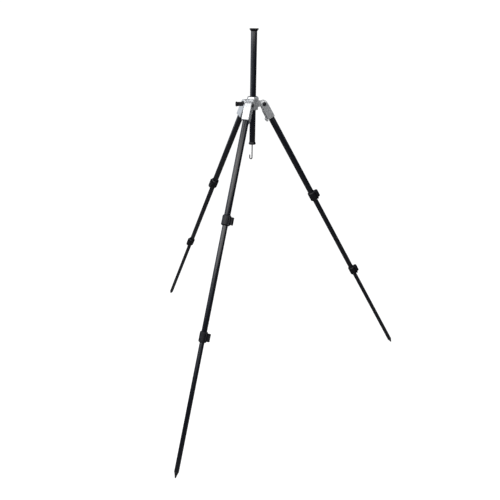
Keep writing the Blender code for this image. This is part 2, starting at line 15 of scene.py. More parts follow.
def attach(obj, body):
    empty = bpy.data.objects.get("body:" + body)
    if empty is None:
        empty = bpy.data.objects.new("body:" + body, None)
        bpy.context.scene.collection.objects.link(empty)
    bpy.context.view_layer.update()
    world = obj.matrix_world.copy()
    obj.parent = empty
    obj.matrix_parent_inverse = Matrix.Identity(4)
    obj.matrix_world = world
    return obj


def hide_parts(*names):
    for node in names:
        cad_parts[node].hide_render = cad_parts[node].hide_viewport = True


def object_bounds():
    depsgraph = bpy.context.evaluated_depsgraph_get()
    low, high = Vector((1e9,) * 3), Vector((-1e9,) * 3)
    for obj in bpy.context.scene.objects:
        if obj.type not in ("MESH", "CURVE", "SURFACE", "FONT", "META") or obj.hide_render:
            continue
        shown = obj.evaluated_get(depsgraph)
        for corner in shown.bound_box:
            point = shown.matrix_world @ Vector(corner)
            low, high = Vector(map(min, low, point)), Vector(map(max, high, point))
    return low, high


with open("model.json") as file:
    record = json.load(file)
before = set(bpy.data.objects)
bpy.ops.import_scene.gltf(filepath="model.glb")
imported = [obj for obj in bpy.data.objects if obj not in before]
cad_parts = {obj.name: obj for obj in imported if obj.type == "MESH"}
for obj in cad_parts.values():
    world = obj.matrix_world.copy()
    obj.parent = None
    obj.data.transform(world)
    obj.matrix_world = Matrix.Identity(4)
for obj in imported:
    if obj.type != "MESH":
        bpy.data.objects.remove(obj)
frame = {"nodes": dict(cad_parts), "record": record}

CAD_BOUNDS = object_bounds()
LEGS = ("front", "right", "left")
JOINTS = {joint["name"]: joint for joint in frame["record"]["behaviour"]["joints"]}

# %% [markdown]
# ## Local frames
# A leg leans, so its parts are awkward to model where they stand. They could be rotated as objects, but a
# finished piece has to sit unturned at the origin. So each piece is modelled upright in the leg's own
# frame, and a matrix then moves its vertices into place. The matrix is read from the joints: the hinge
# gives the pivot and the sideways axis, the slide gives the direction up the leg.


# %% Frames from the joints
def axes_matrix(origin, x_axis, y_axis, z_axis):
    """A matrix that carries local coordinates to the row frame."""
    turn = Matrix((x_axis, y_axis, z_axis)).transposed()
    return Matrix.Translation(origin) @ turn.to_4x4()


def leg_frame(leg):
    """Pivot at the origin, the leg down -Z, +X away from the column."""
    hinge = JOINTS[leg + "_leg_hinge"]
    up = Vector(JOINTS[leg + "_middle_slide"]["axis"]).normalized()
    side = -Vector(hinge["axis"]).normalized()
    return axes_matrix(Vector(hinge["pos_m"]), side.cross(up), side, up)


def knob_frame():
    """The clamp screw's axis along +Z, the column's axis at the origin."""
    joint = JOINTS["knob_turn"]
    out = Vector(joint["axis"]).normalized()
    up = Vector((0, 0, 1))
    return axes_matrix(Vector(joint["pos_m"]), up, out.cross(up), out)


FRAMES = {leg: leg_frame(leg) for leg in LEGS}
COLUMN_FRAME = Matrix.Identity(4)
SHOULDER_FRAME = Matrix.Translation(JOINTS["column_turn"]["pos_m"])
KNOB_FRAME = knob_frame()


def span(node, place):
    """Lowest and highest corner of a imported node, measured along a frame's own axes."""
    back = place.inverted()
    points = [back @ vertex.co for vertex in frame["nodes"][node].data.vertices]
    low = Vector([min(point[i] for point in points) for i in range(3)])
    high = Vector([max(point[i] for point in points) for i in range(3)])
    return low, high


low, high = span("front_upper_tube", FRAMES["front"])
print("upper tube: radius %.4f m, length %.3f m" % (high.x, high.z - low.z))

# %% [markdown]
# ## Shader helpers
# All finishes here are built from the same few nodes: object coordinates, turned so that a pattern can
# run along a leg, noise for cloudiness, a finer noise for grain, and the pointiness of the mesh for worn
# edges. Painted image maps could do the same, but they would need unwrapping and would blur close up,
# while noise stays sharp at any distance. A small helper keeps each recipe short. Numbers that are the
# same all over are set on the shader's own sockets.


# %% Finish builder
CLOUD_DETAIL, GRAIN_DETAIL = 4.0, 3.0
CLOUD_SPREAD, GRAIN_SPREAD = (0.35, 0.65), (0.30, 0.70)
HOLLOWS = (0.44, 0.49)
EDGE_BAND = 0.06
WORN_GRAIN, WORN_SHARE = (0.40, 0.62), (0.15, 1.0)
COAT_ROUGHNESS = 0.25


def scale_factor(tree, source, low, high, start, end):
    """Map a factor between two stops to two values."""
    node = tree.nodes.new("ShaderNodeMapRange")
    for socket, value in (("From Min", low), ("From Max", high), ("To Min", start), ("To Max", end)):
        node.inputs[socket].default_value = value
    tree.links.new(source, node.inputs["Value"])
    return node.outputs["Result"]


def blend_colour(tree, share, first, second):
    """Mix two colours by a factor; the first may be a socket or a plain colour."""
    node = tree.nodes.new("ShaderNodeMix")
    node.data_type = "RGBA"
    tree.links.new(share, node.inputs[0])
    if isinstance(first, tuple):
        node.inputs[6].default_value = (*first, 1.0)
    else:
        tree.links.new(first, node.inputs[6])
    node.inputs[7].default_value = (*second, 1.0)
    return node.outputs[2]


def product(tree, first, second):
    """Two factors multiplied."""
    node = tree.nodes.new("ShaderNodeMath")
    node.operation = "MULTIPLY"
    tree.links.new(first, node.inputs[0])
    tree.links.new(second, node.inputs[1])
    return node.outputs[0]


def noise(tree, vector, scale, detail, stretch=(1, 1, 1), place=None):
    """Noise on object coordinates, turned into a frame and stretched."""
    turn = tree.nodes.new("ShaderNodeMapping")
    turn.vector_type = "POINT"
    if place is not None:
        turn.inputs["Rotation"].default_value = place.to_3x3().inverted().to_euler("XYZ")
    squeeze = tree.nodes.new("ShaderNodeMapping")
    squeeze.inputs["Scale"].default_value = stretch
    field = tree.nodes.new("ShaderNodeTexNoise")
    field.inputs["Scale"].default_value = scale
    field.inputs["Detail"].default_value = detail
    tree.links.new(vector, turn.inputs["Vector"])
    tree.links.new(turn.outputs["Vector"], squeeze.inputs["Vector"])
    tree.links.new(squeeze.outputs["Vector"], field.inputs["Vector"])
    return field.outputs["Fac"]


def finish(name, dark, light, rough, metallic, grain, place=None, stretch=(1, 1, 1), cloud=9.0,
           edge=None, edge_from=0.53, relief=0.00004, specular=0.5, coat=0.0, hollow_dust_and_shade=None, vary=0.05):
    """A Principled material: clouded colour and roughness, a fine grain in relief, worn edges and a colour in
    the hollows, which is settled dirt on some finishes and a painted shade on others.
    """
    material = bpy.data.materials.new(name)
    material.use_nodes = True
    tree = material.node_tree
    shader = tree.nodes["Principled BSDF"]
    shader.inputs["Metallic"].default_value = metallic
    shader.inputs["Specular IOR Level"].default_value = specular
    shader.inputs["Coat Weight"].default_value = coat
    shader.inputs["Coat Roughness"].default_value = COAT_ROUGHNESS
    where = tree.nodes.new("ShaderNodeTexCoord").outputs["Object"]
    clouds = noise(tree, where, cloud, CLOUD_DETAIL, stretch, place)
    fine = noise(tree, where, grain, GRAIN_DETAIL, stretch, place)
    geometry = tree.nodes.new("ShaderNodeNewGeometry")
    colour = blend_colour(tree, scale_factor(tree, clouds, *CLOUD_SPREAD, 0.0, 1.0), dark, light)
    # Colour in the hollows: where it is lighter than the finish it is settled dirt, where it is darker (the
    # cast silver) it is a painted shade.
    if hollow_dust_and_shade:
        hollow = scale_factor(tree, geometry.outputs["Pointiness"], *HOLLOWS, 1.0, 0.0)
        colour = blend_colour(tree, product(tree, hollow, clouds), colour, hollow_dust_and_shade)
    if edge:
        worn = scale_factor(tree, geometry.outputs["Pointiness"], edge_from, edge_from + EDGE_BAND, 0.0, 1.0)
        patchy = product(tree, worn, scale_factor(tree, fine, *WORN_GRAIN, *WORN_SHARE))
        colour = blend_colour(tree, patchy, colour, edge)
    tree.links.new(colour, shader.inputs["Base Color"])
    tree.links.new(scale_factor(tree, fine, *GRAIN_SPREAD, rough - vary, rough + vary),
                   shader.inputs["Roughness"])
    bump = tree.nodes.new("ShaderNodeBump")
    bump.inputs["Strength"].default_value = 1.0
    bump.inputs["Distance"].default_value = relief
    tree.links.new(fine, bump.inputs["Height"])
    tree.links.new(bump.outputs["Normal"], shader.inputs["Normal"])
    return material


# %% [markdown]
# ## Finishes
# The tubes are drawn aluminium, anodised black: satin, with faint lines that run along the tube. The
# noise is squeezed along the tube's axis to make them, so each leg needs its own turned copy of the
# finish. The castings are bright silver lacquer over a die-cast skin, with their hollows painted a dark
# grey: a painted shade where the grooves fall into shadow. The clamps and the knob are grained black
# nylon, which a moulder textures to hide scratches. The wire hook is blackened steel, rubbed brighter
# where it bends.

# %% Mix the finishes
ALONG = (1.0, 1.0, 0.02)
TUBE_DARK, TUBE_LIGHT = (0.0012, 0.0017, 0.0050), (0.0020, 0.0026, 0.0066)
TUBE_FINISH = {
    name: finish(name + "_anodised", TUBE_DARK, TUBE_LIGHT, 0.22, 0.0, 900.0, place, ALONG, relief=0.000001,
                 specular=0.60, edge=(0.10, 0.10, 0.11), edge_from=0.60, vary=0.015)
    for name, place in (*FRAMES.items(), ("column", None))
}
# The hollow colour of the cast silver is a painted shade: it darkens the grooves to dark grey where shadow
# falls.
CAST_SILVER = finish("cast_silver_lacquer", (0.60, 0.61, 0.62), (0.70, 0.71, 0.72), 0.30, 0.60, 500.0,
                     relief=0.000006, edge=(0.80, 0.80, 0.81), edge_from=0.57, coat=0.25,
                     hollow_dust_and_shade=(0.20, 0.21, 0.21), cloud=30.0)
BLACK_NYLON = finish("black_grained_nylon", (0.004, 0.004, 0.006), (0.007, 0.007, 0.010), 0.42, 0.0, 1400.0,
                     relief=0.00003, edge_from=0.57, edge=(0.035, 0.035, 0.040), specular=0.30, cloud=60.0,
                     hollow_dust_and_shade=(0.020, 0.020, 0.022))
DARK_BOLT = finish("blackened_bolt", (0.030, 0.030, 0.034), (0.055, 0.055, 0.060), 0.36, 0.8, 900.0,
                   edge=(0.16, 0.16, 0.17), cloud=120.0)
DARK_WIRE = finish("blackened_wire", (0.005, 0.005, 0.005), (0.011, 0.010, 0.010), 0.40, 0.0, 1200.0,
                   edge=(0.14, 0.13, 0.12), cloud=90.0, relief=0.00001)
ZINC_STEEL = finish("dark_zinc_steel", (0.16, 0.16, 0.18), (0.25, 0.25, 0.27), 0.32, 1.0, 600.0,
                    edge=(0.45, 0.45, 0.46), cloud=120.0, relief=0.00001)
GUIDE_ACETAL = finish("dark_acetal", (0.030, 0.031, 0.034), (0.045, 0.046, 0.050), 0.5, 0.0, 800.0,
                      relief=0.00001, edge=(0.09, 0.09, 0.10), cloud=80.0)
FOOT_RUBBER = finish("black_foot_rubber", (0.008, 0.008, 0.009), (0.016, 0.015, 0.015), 0.62, 0.0, 700.0,
                     relief=0.00008, edge=(0.05, 0.048, 0.045), cloud=60.0, hollow_dust_and_shade=(0.045, 0.042, 0.038))
print("finishes", len(bpy.data.materials))

# %% [markdown]
# ## Helpers that finish a piece
# Every piece ends the same way: its vertices go to their place, it gets one material, rides on a body and
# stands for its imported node. One function does it, so that no step is forgotten.


# %% Piece helpers
MERGE = 0.00001
FINE_MERGE = MERGE / 10
SHARP_ANGLE = math.radians(38.0)
BODY_OF = {node: body for body, nodes in frame["record"]["behaviour"]["bodies"].items() for node in nodes}


def settle(mesh, node, place, material):
    """Make a finished piece from a local mesh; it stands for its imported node."""
    mesh.transform(place)
    mesh.materials.clear()
    mesh.materials.append(material)
    mesh.shade_smooth()
    mesh.set_sharp_from_angle(angle=SHARP_ANGLE)
    piece = bpy.data.objects.new(node + "_finished", mesh)
    bpy.context.scene.collection.objects.link(piece)
    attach(piece, BODY_OF[node])
    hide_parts(node)
    print(piece.name, len(mesh.polygons), "faces, mm", [round(1000 * v, 1) for v in piece.dimensions])
    return piece


def evaluated(obj):
    """The plain mesh that an object's modifiers give; the object is removed."""
    bpy.context.view_layer.update()
    mesh = bpy.data.meshes.new_from_object(obj.evaluated_get(bpy.context.evaluated_depsgraph_get()))
    bpy.data.objects.remove(obj, do_unlink=True)
    return mesh


def mesh_from(bm, name="work"):
    """A bmesh as a plain mesh with its faces outward."""
    bmesh.ops.recalc_face_normals(bm, faces=bm.faces)
    mesh = bpy.data.meshes.new(name)
    bm.to_mesh(mesh)
    bm.free()
    return mesh


def loose(data, name="work"):
    """A temporary object that holds a mesh or a curve."""
    obj = bpy.data.objects.new(name, data)
    bpy.context.scene.collection.objects.link(obj)
    return obj


def merged(node, place):
    """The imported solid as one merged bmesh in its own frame."""
    bm = bmesh.new()
    bm.from_mesh(frame["nodes"][node].data)
    bmesh.ops.remove_doubles(bm, verts=bm.verts, dist=MERGE)
    bm.transform(place.inverted())
    return bm


# %% [markdown]
# ## Drawn tubes
# A tube is a thin wall swept round a circle, with the sharp rim broken by a small radius. Extruding a
# circle would leave razor edges, so a Geometry Nodes tree sweeps the wall's filleted cross-section
# instead. The tree has the four sizes of a tube as its inputs, and all ten tubes of the stand come from
# it.


# %% Tube tree
TUBE_SIDES = 96
FILLET_STEPS = 3
TUBE_WALL = 0.0010
COLUMN_WALL = 0.0015
RIM_EDGE = 0.0003


def new_tree(name, inputs):
    """A Geometry Nodes tree with named number inputs, a finish and one geometry output."""
    tree = bpy.data.node_groups.new(name, "GeometryNodeTree")
    tree.interface.new_socket("Shape", in_out="INPUT", socket_type="NodeSocketGeometry")
    for label, value in inputs:
        socket = tree.interface.new_socket(label, in_out="INPUT", socket_type="NodeSocketFloat")
        socket.default_value = value
    tree.interface.new_socket("Finish", in_out="INPUT", socket_type="NodeSocketMaterial")
    tree.interface.new_socket("Shape", in_out="OUTPUT", socket_type="NodeSocketGeometry")
    return tree, tree.nodes.new("NodeGroupInput"), tree.nodes.new("NodeGroupOutput")


def close_tree(tree, shape, start, end):
    """Realize the instances and paint the result."""
    real = tree.nodes.new("GeometryNodeRealizeInstances")
    paint = tree.nodes.new("GeometryNodeSetMaterial")
    tree.links.new(shape, real.inputs[0])
    tree.links.new(real.outputs[0], paint.inputs["Geometry"])
    tree.links.new(start.outputs["Finish"], paint.inputs["Material"])
    tree.links.new(paint.outputs[0], end.inputs[0])
    return tree


def math_node(tree, operation, first, second=None, third=None):
    """One Math node; each value may be a socket or a number."""
    node = tree.nodes.new("ShaderNodeMath")
    node.operation = operation
    for socket, value in zip(node.inputs, (first, second, third)):
        if isinstance(value, (int, float)):
            socket.default_value = value
        elif value is not None:
            tree.links.new(value, socket)
    return node.outputs[0]


def tube_tree():
    """A filleted wall section swept round a circle."""
    tree, start, end = new_tree("drawn_tube", (("Outer Radius", 0.0125), ("Wall", 0.001), ("Length", 0.4),
                                               ("Edge", 0.0003)))
    node, link = tree.nodes.new, tree.links.new
    rail = node("GeometryNodeCurvePrimitiveCircle")
    rail.inputs["Resolution"].default_value = TUBE_SIDES
    link(math_node(tree, "MULTIPLY_ADD", start.outputs["Wall"], -0.5, start.outputs["Outer Radius"]),
         rail.inputs["Radius"])
    section = node("GeometryNodeCurvePrimitiveQuadrilateral")
    link(start.outputs["Wall"], section.inputs["Width"])
    link(start.outputs["Length"], section.inputs["Height"])
    fillet = node("GeometryNodeFilletCurve")
    fillet.mode = "POLY"
    fillet.inputs["Count"].default_value = FILLET_STEPS
    link(section.outputs[0], fillet.inputs["Curve"])
    link(start.outputs["Edge"], fillet.inputs["Radius"])
    sweep = node("GeometryNodeCurveToMesh")
    link(rail.outputs[0], sweep.inputs["Curve"])
    link(fillet.outputs[0], sweep.inputs["Profile Curve"])
    return close_tree(tree, sweep.outputs[0], start, end)


def grow(tree, values, data=None):
    """Run a tree on some data with the given inputs and return the mesh, faces outward."""
    host = loose(data or bpy.data.meshes.new("seed"))
    modifier = host.modifiers.new("grow", "NODES")
    modifier.node_group = tree
    for item in tree.interface.items_tree:
        if item.in_out == "INPUT" and item.name in values:
            modifier[item.identifier] = values[item.name]
    bm = bmesh.new()
    bm.from_mesh(evaluated(host))
    bmesh.ops.remove_doubles(bm, verts=bm.verts, dist=FINE_MERGE)
    return mesh_from(bm)


TUBE_TREE = tube_tree()


def draw_tube(node, place, wall, material):
    """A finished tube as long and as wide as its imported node."""
    low, high = span(node, place)
    mesh = grow(TUBE_TREE, {"Outer Radius": high.x, "Wall": wall, "Length": high.z - low.z,
                            "Edge": RIM_EDGE, "Finish": material})
    mesh.transform(Matrix.Translation((0, 0, (low.z + high.z) / 2)))
    settle(mesh, node, place, material)


for leg in LEGS:
    for part in ("upper_tube", "middle_tube", "lower_tube"):
        draw_tube(leg + "_" + part, FRAMES[leg], TUBE_WALL, TUBE_FINISH[leg])
draw_tube("column_tube", COLUMN_FRAME, COLUMN_WALL, TUBE_FINISH["column"])

# %% [markdown]
# ## Turned parts
# Caps, pins, bolts, bushes and feet are lathe work. Their cross-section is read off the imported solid: the
# corners that lie in one half-plane through the axis, walked round along the edges that join them. Each
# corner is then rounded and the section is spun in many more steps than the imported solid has. Subdividing
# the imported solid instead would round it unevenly, because its facets are long and thin.


# %% Read a section and spin it
TURNED_SIDES = 96
CORNER_STEPS = 3
CORNER_SHARE = 0.45


def section_of(node, place):
    """The (radius, height) corners of a turned solid, in order round its section."""
    bm = merged(node, place)
    far = max(bm.verts, key=lambda vert: vert.co.xy.length).co.xy.normalized()
    kept = {vert for vert in bm.verts
            if vert.co.xy.length < MERGE or (abs(far.cross(vert.co.xy)) < MERGE and far.dot(vert.co.xy) > 0)}
    links = {vert: [edge.other_vert(vert) for edge in vert.link_edges if edge.other_vert(vert) in kept]
             for vert in kept}
    on_axis = [vert for vert in kept if vert.co.xy.length < MERGE]
    ends = [vert for vert in kept if len(links[vert]) == 1 or vert in on_axis]
    here = min(ends or kept, key=lambda vert: (vert.co.z, vert.co.xy.length))
    walk = [here]
    while True:
        onward = [vert for vert in links[here]
                  if vert not in walk and not (vert in on_axis and here in on_axis)]
        if not onward:
            break
        here = onward[0]
        walk.append(here)
    points = [(vert.co.xy.length, vert.co.z) for vert in walk]
    bm.free()
    return points, not ends


def rounded(points, closed, radius):
    """Round every corner of a section with a short curve."""
    result = []
    count = len(points)
    for i, point in enumerate(points):
        corner = Vector(point)
        before = Vector(points[i - 1]) if closed or i > 0 else None
        after = Vector(points[(i + 1) % count]) if closed or i < count - 1 else None
        if before is None or after is None:
            result.append(point)
            continue
        reach = min(radius, CORNER_SHARE * (before - corner).length, CORNER_SHARE * (after - corner).length)
        first = corner + (before - corner).normalized() * reach
        last = corner + (after - corner).normalized() * reach
        for k in range(CORNER_STEPS + 1):
            t = k / CORNER_STEPS
            result.append(tuple((1 - t) ** 2 * first + 2 * t * (1 - t) * corner + t * t * last))
    return result


def dense(points, closed, step):
    """Add points so that no straight stretch of a section is longer than a step."""
    result = []
    pairs = list(zip(points, points[1:] + points[:1])) if closed else list(zip(points, points[1:]))
    for first, last in pairs:
        parts = max(1, math.ceil((Vector(last) - Vector(first)).length / step))
        result += [tuple(Vector(first).lerp(Vector(last), k / parts)) for k in range(parts)]
    return result if closed else result + [points[-1]]


def spun(points, closed, sides):
    """Spin a section round Z into a closed mesh."""
    bm = bmesh.new()
    verts = [bm.verts.new((radius, 0.0, height)) for radius, height in points]
    edges = [bm.edges.new(pair) for pair in zip(verts, verts[1:])]
    if closed:
        edges.append(bm.edges.new((verts[-1], verts[0])))
    bmesh.ops.spin(bm, geom=verts + edges, cent=(0, 0, 0), axis=(0, 0, 1), dvec=(0, 0, 0), angle=math.tau,
                   steps=sides, use_merge=True, use_duplicate=False)
    bmesh.ops.remove_doubles(bm, verts=bm.verts, dist=FINE_MERGE)
    return mesh_from(bm)


def lathe(node, place, radius, sides=TURNED_SIDES, step=None):
    """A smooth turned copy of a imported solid."""
    points, closed = section_of(node, place)
    if not closed:
        points = [(0.0, points[0][1])] * (points[0][0] > MERGE) + points
        points = points + [(0.0, points[-1][1])] * (points[-1][0] > MERGE)
    points = rounded(points, closed, radius)
    if step:
        points = dense(points, closed, step)
    return spun(points, closed, sides)


def crossways(leg, joint):
    """A frame on a leg's hinge-like joint, with Z across the leg."""
    place = FRAMES[leg]
    out, side, up = (place.to_3x3().col[i] for i in range(3))
    return axes_matrix(Vector(JOINTS[leg + joint]["pos_m"]), out, -up, side)


def beside(leg, joint):
    """A frame on a flip lever's pin, with Z up the leg."""
    return Matrix.Translation(Vector(JOINTS[leg + joint]["pos_m"])) @ FRAMES[leg].to_3x3().to_4x4()


print("top cap section, mm", [(round(1000 * r, 1), round(1000 * z, 1))
                              for r, z in section_of("top_cap", COLUMN_FRAME)[0]])

# %% [markdown]
# ## Caps, bushes and pins
# The top cap is a moulded plug with a flat face that instruments rest on; its rim is flared so that a
# hand finds the end of the column. The bushes are machined acetal rings that keep the tubes from
# rattling. The pins are plain steel rod with a broken edge. All of them are simple sections, so the lathe
# helper makes them whole.

# %% Turn the plain parts
CAP_ROUNDING = 0.0008
PIN_ROUNDING = 0.0003
PIN_SIDES = 32
for node in ("top_cap", "bottom_cap"):
    settle(lathe(node, COLUMN_FRAME, CAP_ROUNDING), node, COLUMN_FRAME, BLACK_NYLON)
settle(lathe("hook_nut", COLUMN_FRAME, PIN_ROUNDING), "hook_nut", COLUMN_FRAME, ZINC_STEEL)
settle(lathe("collar_bush", SHOULDER_FRAME, PIN_ROUNDING), "collar_bush", SHOULDER_FRAME, GUIDE_ACETAL)
settle(lathe("clamp_pad", KNOB_FRAME, PIN_ROUNDING), "clamp_pad", KNOB_FRAME, GUIDE_ACETAL)
for leg in LEGS:
    for part in ("middle_bush", "lower_bush"):
        node = leg + "_" + part
        settle(lathe(node, FRAMES[leg], PIN_ROUNDING), node, FRAMES[leg], GUIDE_ACETAL)
    for part in ("upper_lever", "lower_lever"):
        place = beside(leg, "_" + part + "_flip")
        node = leg + "_" + part + "_pin"
        settle(lathe(node, place, PIN_ROUNDING, PIN_SIDES), node, place, ZINC_STEEL)
    place = crossways(leg, "_release_pull")
    node = leg + "_release_pin"
    settle(lathe(node, place, PIN_ROUNDING, PIN_SIDES), node, place, ZINC_STEEL)

# %% [markdown]
# ## Grooves
# Ribs on a knob, a thread on a screw, rings on a foot and finger grooves on a lever are the same thing: a
# wave that runs round the axis, along it, or both. One Geometry Nodes tree pushes the surface towards the
# axis by such a wave. Around is the number of ribs in a turn, Per Metre the number of rings along the
# axis; with both set the wave is a helix. Low, High and From Radius say where it acts. Boolean cutters
# would need one solid for each groove and would leave sharp slivers.


# %% Groove tree
def smooth_step(tree, value, low, high):
    """A smooth ramp from 0 to 1 between two levels."""
    node = tree.nodes.new("ShaderNodeMapRange")
    node.interpolation_type = "SMOOTHSTEP"
    tree.links.new(value, node.inputs["Value"])
    tree.links.new(low, node.inputs["From Min"])
    tree.links.new(high, node.inputs["From Max"])
    return node.outputs["Result"]


def groove_tree():
    """Push a surface towards its axis by a wave that runs round it, along it, or both."""
    tree, start, end = new_tree("grooves", (("Around", 0.0), ("Per Metre", 0.0), ("Depth", 0.0004),
                                            ("Low", 0.0), ("High", 0.01), ("From Radius", 0.0),
                                            ("Narrowing", 1.0), ("Fade", 0.0005)))
    node, link = tree.nodes.new, tree.links.new
    value = start.outputs
    parts = node("ShaderNodeSeparateXYZ")
    link(node("GeometryNodeInputPosition").outputs[0], parts.inputs[0])
    x, y, z = parts.outputs
    angle = math_node(tree, "ARCTAN2", y, x)
    turns = math_node(tree, "MULTIPLY", math_node(tree, "MULTIPLY", z, value["Per Metre"]), math.tau)
    phase = math_node(tree, "MULTIPLY_ADD", angle, value["Around"], turns)
    wave = math_node(tree, "MULTIPLY_ADD", math_node(tree, "COSINE", phase), -0.5, 0.5)
    wave = math_node(tree, "POWER", wave, value["Narrowing"])
    radius = math_node(tree, "SQRT", math_node(tree, "MULTIPLY_ADD", x, x, math_node(tree, "MULTIPLY", y, y)))
    fade = value["Fade"]
    rise = smooth_step(tree, z, value["Low"], math_node(tree, "ADD", value["Low"], fade))
    drop = smooth_step(tree, z, math_node(tree, "SUBTRACT", value["High"], fade), value["High"])
    inside = math_node(tree, "MULTIPLY", rise, math_node(tree, "SUBTRACT", 1.0, drop))
    inner = value["From Radius"]
    reach = smooth_step(tree, radius, inner, math_node(tree, "ADD", inner, fade))
    push = math_node(tree, "MULTIPLY", wave, math_node(tree, "MULTIPLY", inside, reach))
    push = math_node(tree, "MULTIPLY", push, value["Depth"])
    share = math_node(tree, "DIVIDE", push, math_node(tree, "MAXIMUM", radius, 0.0001))
    offset = node("ShaderNodeCombineXYZ")
    link(math_node(tree, "MULTIPLY", math_node(tree, "MULTIPLY", x, share), -1.0), offset.inputs[0])
    link(math_node(tree, "MULTIPLY", math_node(tree, "MULTIPLY", y, share), -1.0), offset.inputs[1])
    shift = node("GeometryNodeSetPosition")
    link(value["Shape"], shift.inputs["Geometry"])
    link(offset.outputs[0], shift.inputs["Offset"])
    return close_tree(tree, shift.outputs[0], start, end)


GROOVE_TREE = groove_tree()
print("groove tree nodes", len(GROOVE_TREE.nodes))

# %% [markdown]
# ## Knob and screw
# The column clamp is tightened by hand, so its knob carries shallow ribs. They stop short of both ends,
# where the mould parts. The screw that it turns has a fine thread, one turn to the millimetre, which is
# the ratio that couples the knob's turning to its travel.

# %% Knob ribs and thread
KNOB_RIBS = 18.0
KNOB_RIB_DEPTH = 0.0007
KNOB_PLAIN_END = 0.0015
KNOB_GRIP_SHARE = 0.6
KNOB_SIDES = 216
KNOB_STEP = 0.0008
NARROW_RIB = 2.0
THREAD_PITCH = 0.0010
THREAD_DEPTH = 0.00045
THREAD_ROOT_SHARE = 0.5
THREAD_SIDES = 36
THREAD_STEPS = 6
low, high = span("clamp_knob", KNOB_FRAME)
mesh = lathe("clamp_knob", KNOB_FRAME, CAP_ROUNDING, KNOB_SIDES, KNOB_STEP)
mesh = grow(GROOVE_TREE, {"Around": KNOB_RIBS, "Depth": KNOB_RIB_DEPTH, "Low": low.z + KNOB_PLAIN_END,
                          "High": high.z - KNOB_PLAIN_END, "From Radius": KNOB_GRIP_SHARE * high.x,
                          "Narrowing": NARROW_RIB, "Finish": BLACK_NYLON}, mesh)
settle(mesh, "clamp_knob", KNOB_FRAME, BLACK_NYLON)
low, high = span("clamp_screw", KNOB_FRAME)
mesh = lathe("clamp_screw", KNOB_FRAME, PIN_ROUNDING, THREAD_SIDES, THREAD_PITCH / THREAD_STEPS)
mesh = grow(GROOVE_TREE, {"Around": 1.0, "Per Metre": 1.0 / THREAD_PITCH, "Depth": THREAD_DEPTH,
                          "Low": low.z + THREAD_PITCH, "High": high.z - THREAD_PITCH,
                          "From Radius": THREAD_ROOT_SHARE * high.x, "Finish": ZINC_STEEL}, mesh)
settle(mesh, "clamp_screw", KNOB_FRAME, ZINC_STEEL)

# %% [markdown]
# ## Feet
# Each foot is a hard rubber plug that tapers to a small blunt tip, so that it holds on a hard floor and
# sinks a little into soft ground. Two or three moulded rings stiffen the taper.

# %% Turn the feet
FOOT_RINGS_PER_METRE = 280.0
FOOT_RING_DEPTH = 0.0005
FOOT_TIP_SHARE = 0.14
FOOT_COLLAR_SHARE = 0.52
FOOT_STEP = 0.0005
LONG_FADE = 0.002
for leg in LEGS:
    node = leg + "_foot"
    low, high = span(node, FRAMES[leg])
    tall = high.z - low.z
    mesh = lathe(node, FRAMES[leg], CAP_ROUNDING, TURNED_SIDES, FOOT_STEP)
    mesh = grow(GROOVE_TREE, {"Per Metre": FOOT_RINGS_PER_METRE, "Depth": FOOT_RING_DEPTH,
                              "Low": low.z + FOOT_TIP_SHARE * tall, "High": low.z + FOOT_COLLAR_SHARE * tall,
                              "Fade": LONG_FADE, "Narrowing": NARROW_RIB, "Finish": FOOT_RUBBER}, mesh)
    settle(mesh, node, FRAMES[leg], FOOT_RUBBER)

# %% [markdown]
# ## Pivot bolts
# A leg turns on one bolt, and its two heads lie against the cheeks of the casting. The heads have a
# hexagonal recess for a key. The turned bolt is simple, so the recess can be cut with an exact Boolean:
# both solids are closed and clean.


# %% Bolts with a key recess
def hexagon(across, depth, height):
    """A six-sided cutter that reaches a depth below a height."""
    bm = bmesh.new()
    bmesh.ops.create_cone(bm, cap_ends=True, segments=6, radius1=across / 2, radius2=across / 2,
                          depth=2 * depth)
    bmesh.ops.translate(bm, vec=(0, 0, height), verts=bm.verts)
    return loose(mesh_from(bm), "key")


def cut(mesh, tools):
    """A mesh with some solids cut out of it."""
    obj = loose(mesh)
    for tool in tools:
        modifier = obj.modifiers.new("cut", "BOOLEAN")
        modifier.operation = "DIFFERENCE"
        modifier.object = tool
    result = evaluated(obj)
    for tool in tools:
        bpy.data.objects.remove(tool, do_unlink=True)
    return result


KEY_ACROSS = 0.0062
KEY_DEPTH = 0.0020
for leg in LEGS:
    node = leg + "_pivot_bolt"
    place = crossways(leg, "_leg_hinge")
    low, high = span(node, place)
    keys = [hexagon(KEY_ACROSS, KEY_DEPTH, height) for height in (low.z, high.z)]
    settle(cut(lathe(node, place, CAP_ROUNDING), keys), node, place, DARK_BOLT)

# %% [markdown]
# ## Hook
# The hook is one bent wire. Its centre line is a path of four points, a fillet rounds the two lower
# corners into the bend, and a circle is swept along it. That is a tree with two inputs, so the bend can
# be changed without touching a vertex. Turning a torus and joining straight bars to it would leave seams.


# %% Bend the wire
WIRE_SIDES = 32
BEND_STEPS = 14
RIM_ANGLE = math.radians(60.0)
RIM_STEPS = 4
RIM_SHARE = 0.6


